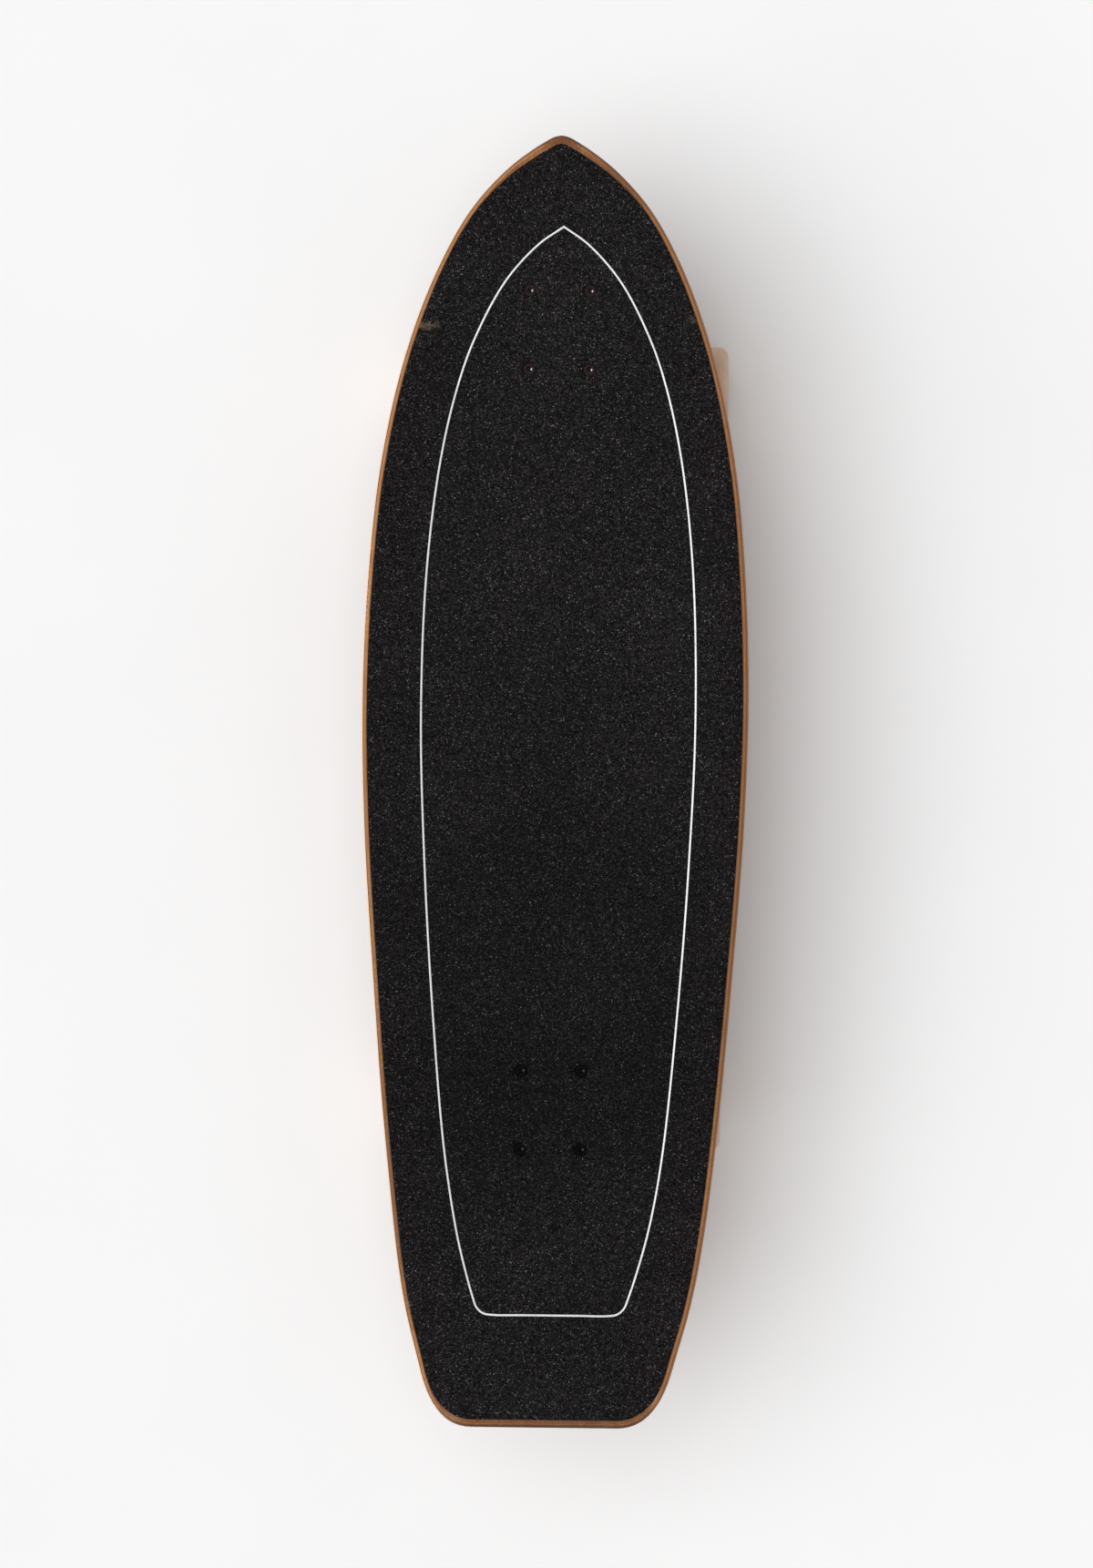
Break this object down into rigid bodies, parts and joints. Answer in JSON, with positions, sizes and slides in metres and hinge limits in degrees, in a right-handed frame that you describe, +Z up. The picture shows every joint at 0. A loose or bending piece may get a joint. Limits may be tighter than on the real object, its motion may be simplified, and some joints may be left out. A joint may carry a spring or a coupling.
{
  "type": "surf skateboard",
  "caption": "Pointed-nose surf skateboard with a kicked squash tail, grip sheet, sprung swing-arm front truck, kingpin rear truck and soft wide wheels.",
  "frame": {"origin": "middle of the bounding box on the floor that the wheels stand on", "axes": "+Y towards the nose, +X to the rider's right, +Z up from the floor"},
  "size_m": [0.265, 0.879, 0.1614],
  "materials": {
    "deck_maple": "clear satin lacquer over maple plies",
    "grip_sheet": "black silicon carbide grit, very rough",
    "riser_nylon": "moulded, fine satin",
    "cup_urethane": "moulded urethane",
    "deck_bolt_steel": "black oxide with bronze wear",
    "cast_black": "satin black powder coat on cast aluminium",
    "hanger_alloy": "cast and bead blasted",
    "spring_steel": "oiled spring wire",
    "bushing_urethane": "translucent orange urethane",
    "wheel_urethane": "cream urethane, satin with a worn tread",
    "bearing_steel": "pressed shields",
    "plated_steel": "zinc plated"
  },
  "bodies": {
    "deck": {"deck": "deck_maple", "griptape": "grip_sheet", "front_riser_pad": "riser_nylon", "rear_riser_pad": "riser_nylon", "front_deck_bolt_1": "deck_bolt_steel", "front_deck_bolt_2": "deck_bolt_steel", "front_deck_bolt_3": "deck_bolt_steel", "front_deck_bolt_4": "deck_bolt_steel", "rear_deck_bolt_1": "deck_bolt_steel", "rear_deck_bolt_2": "deck_bolt_steel", "rear_deck_bolt_3": "deck_bolt_steel", "rear_deck_bolt_4": "deck_bolt_steel", "adapter_base": "cast_black", "pivot_bolt": "plated_steel", "return_spring": "spring_steel", "rear_base_plate": "cast_black", "rear_kingpin": "plated_steel", "rear_boardside_bushing": "bushing_urethane", "rear_roadside_bushing": "bushing_urethane", "rear_upper_washer": "plated_steel", "rear_lower_washer": "plated_steel", "rear_kingpin_nut": "plated_steel", "rear_pivot_cup": "cup_urethane"},
    "front_arm": {"swing_arm": "cast_black", "pivot_bearing_upper": "bearing_steel", "pivot_bearing_lower": "bearing_steel", "front_kingpin": "plated_steel", "front_boardside_bushing": "bushing_urethane", "front_roadside_bushing": "bushing_urethane", "front_upper_washer": "plated_steel", "front_lower_washer": "plated_steel", "front_kingpin_nut": "plated_steel", "front_pivot_cup": "cup_urethane"},
    "front_hanger": {"front_hanger": "hanger_alloy", "front_axle": "plated_steel", "front_left_bearing_spacer": "plated_steel", "front_left_axle_nut": "plated_steel", "front_right_bearing_spacer": "plated_steel", "front_right_axle_nut": "plated_steel"},
    "rear_hanger": {"rear_hanger": "hanger_alloy", "rear_axle": "plated_steel", "rear_left_bearing_spacer": "plated_steel", "rear_left_axle_nut": "plated_steel", "rear_right_bearing_spacer": "plated_steel", "rear_right_axle_nut": "plated_steel"},
    "front_left_wheel": {"front_left_wheel": "wheel_urethane", "front_left_outer_bearing": "bearing_steel", "front_left_inner_bearing": "bearing_steel"},
    "front_right_wheel": {"front_right_wheel": "wheel_urethane", "front_right_outer_bearing": "bearing_steel", "front_right_inner_bearing": "bearing_steel"},
    "rear_left_wheel": {"rear_left_wheel": "wheel_urethane", "rear_left_outer_bearing": "bearing_steel", "rear_left_inner_bearing": "bearing_steel"},
    "rear_right_wheel": {"rear_right_wheel": "wheel_urethane", "rear_right_outer_bearing": "bearing_steel", "rear_right_inner_bearing": "bearing_steel"}
  },
  "joints": [
    {"name": "arm_swing", "type": "hinge", "parent": "deck", "child": "front_arm", "pos_m": [0, 0.3323, 0.072], "axis": [0, 0.2079, 0.9781], "range_deg": [-35, 35], "stiffness_Nm_per_rad": 6, "deforming": ["return_spring"]},
    {"name": "front_steer", "type": "hinge", "parent": "front_arm", "child": "front_hanger", "pos_m": [0, 0.2583, 0.05672], "axis": [0, 0.866, 0.5], "range_deg": [-20, 20], "stiffness_Nm_per_rad": 30, "deforming": ["front_boardside_bushing", "front_roadside_bushing"]},
    {"name": "rear_steer", "type": "hinge", "parent": "deck", "child": "rear_hanger", "pos_m": [0, -0.2159, 0.05672], "axis": [0, -0.866, 0.5], "range_deg": [-20, 20], "stiffness_Nm_per_rad": 30, "deforming": ["rear_boardside_bushing", "rear_roadside_bushing"]},
    {"name": "front_left_spin", "type": "hinge", "parent": "front_hanger", "child": "front_left_wheel", "pos_m": [-0.09, 0.2763, 0.03272], "axis": [1, 0, 0], "continuous": true},
    {"name": "front_right_spin", "type": "hinge", "parent": "front_hanger", "child": "front_right_wheel", "pos_m": [0.09, 0.2763, 0.03272], "axis": [1, 0, 0], "continuous": true},
    {"name": "rear_left_spin", "type": "hinge", "parent": "rear_hanger", "child": "rear_left_wheel", "pos_m": [-0.09, -0.2339, 0.03272], "axis": [1, 0, 0], "continuous": true},
    {"name": "rear_right_spin", "type": "hinge", "parent": "rear_hanger", "child": "rear_right_wheel", "pos_m": [0.09, -0.2339, 0.03272], "axis": [1, 0, 0], "continuous": true}
  ]
}
